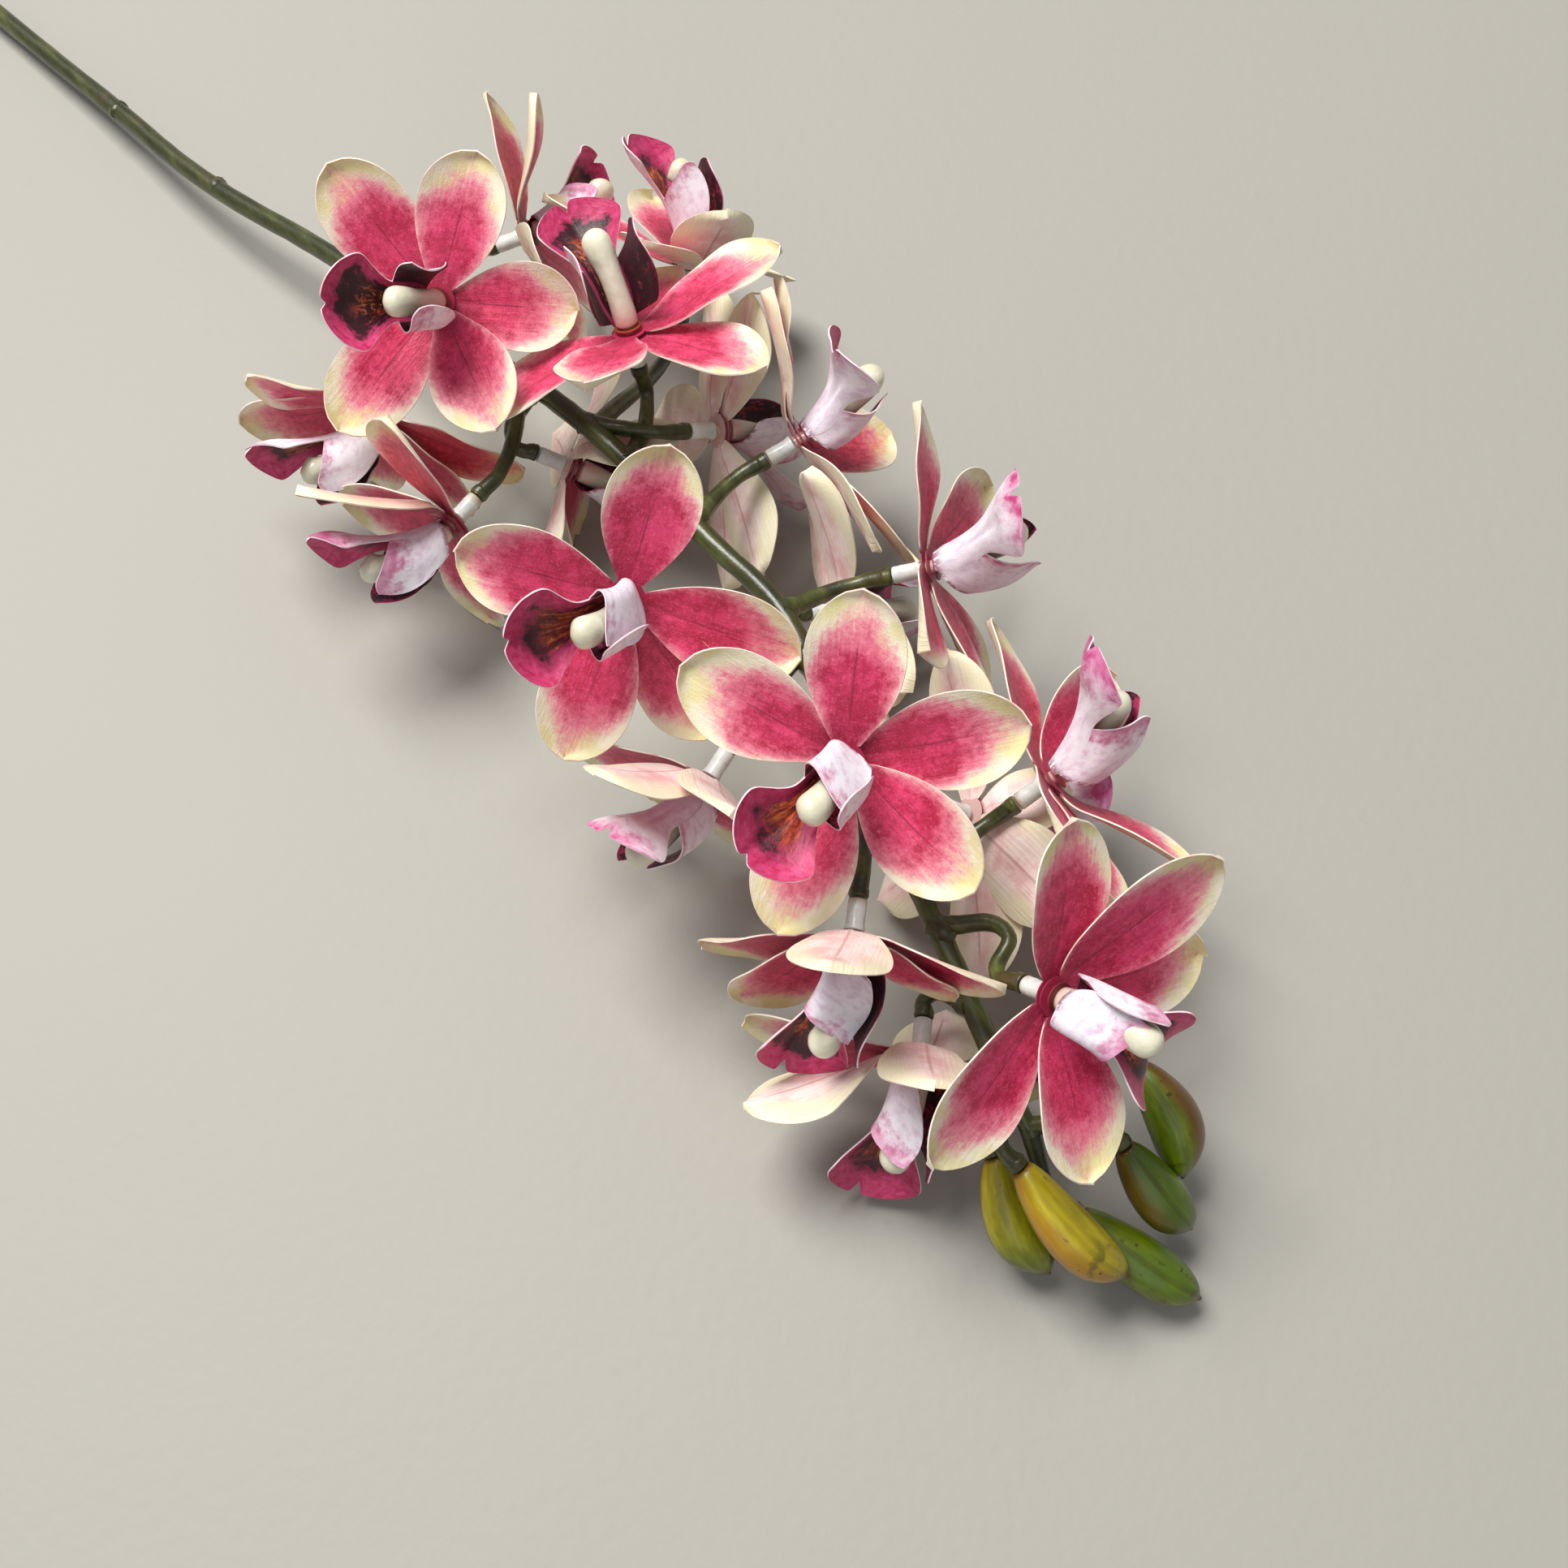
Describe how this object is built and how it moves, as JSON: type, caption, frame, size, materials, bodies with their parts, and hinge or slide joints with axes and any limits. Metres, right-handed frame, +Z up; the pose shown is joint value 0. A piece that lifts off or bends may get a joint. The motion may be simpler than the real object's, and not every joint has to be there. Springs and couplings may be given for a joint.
{
  "type": "cymbidium orchid spike",
  "caption": "Arching spray of open orchid blooms on short stalks along a long cut stem, with closed buds at its tip, lying on its side on a flat surface.",
  "frame": {"origin": "on the surface that the spike lies on, under the middle of its box", "axes": "+X along the spike from the cut end of the stem to the buds, +Y across it, +Z up"},
  "size_m": [0.6508, 0.1464, 0.0871],
  "materials": {
    "tepal_fabric": "printed coated fabric, raspberry fading to cream at the edge, satin",
    "lip_fabric": "printed coated fabric, maroon blotches on magenta, satin",
    "column_plastic": "moulded ivory plastic, glossy",
    "stem_plastic": "moulded plastic, dark olive, semi-gloss",
    "bud_plastic": "moulded plastic, yellow-green with brush strokes of brown, semi-gloss"
  },
  "bodies": {
    "root": {"stem": "stem_plastic", "bud_1": "bud_plastic", "bud_2": "bud_plastic", "bud_3": "bud_plastic", "bud_4": "bud_plastic", "bud_5": "bud_plastic", "bloom_a_tepals": "tepal_fabric", "bloom_a_lip": "lip_fabric", "bloom_a_column": "column_plastic", "bloom_b_tepals": "tepal_fabric", "bloom_b_lip": "lip_fabric", "bloom_b_column": "column_plastic", "bloom_c_tepals": "tepal_fabric", "bloom_c_lip": "lip_fabric", "bloom_c_column": "column_plastic", "bloom_d_tepals": "tepal_fabric", "bloom_d_lip": "lip_fabric", "bloom_d_column": "column_plastic", "bloom_e_tepals": "tepal_fabric", "bloom_e_lip": "lip_fabric", "bloom_e_column": "column_plastic", "bloom_f_tepals": "tepal_fabric", "bloom_f_lip": "lip_fabric", "bloom_f_column": "column_plastic", "bloom_g_tepals": "tepal_fabric", "bloom_g_lip": "lip_fabric", "bloom_g_column": "column_plastic", "bloom_h_tepals": "tepal_fabric", "bloom_h_lip": "lip_fabric", "bloom_h_column": "column_plastic", "bloom_i_tepals": "tepal_fabric", "bloom_i_lip": "lip_fabric", "bloom_i_column": "column_plastic", "bloom_j_tepals": "tepal_fabric", "bloom_j_lip": "lip_fabric", "bloom_j_column": "column_plastic", "bloom_k_tepals": "tepal_fabric", "bloom_k_lip": "lip_fabric", "bloom_k_column": "column_plastic", "bloom_l_tepals": "tepal_fabric", "bloom_l_lip": "lip_fabric", "bloom_l_column": "column_plastic", "bloom_m_tepals": "tepal_fabric", "bloom_m_lip": "lip_fabric", "bloom_m_column": "column_plastic", "bloom_n_tepals": "tepal_fabric", "bloom_n_lip": "lip_fabric", "bloom_n_column": "column_plastic", "bloom_o_tepals": "tepal_fabric", "bloom_o_lip": "lip_fabric", "bloom_o_column": "column_plastic", "bloom_p_tepals": "tepal_fabric", "bloom_p_lip": "lip_fabric", "bloom_p_column": "column_plastic", "bloom_q_tepals": "tepal_fabric", "bloom_q_lip": "lip_fabric", "bloom_r_tepals": "tepal_fabric", "bloom_r_lip": "lip_fabric", "bloom_t_tepals": "tepal_fabric", "bloom_t_lip": "lip_fabric"}
  },
  "joints": []
}
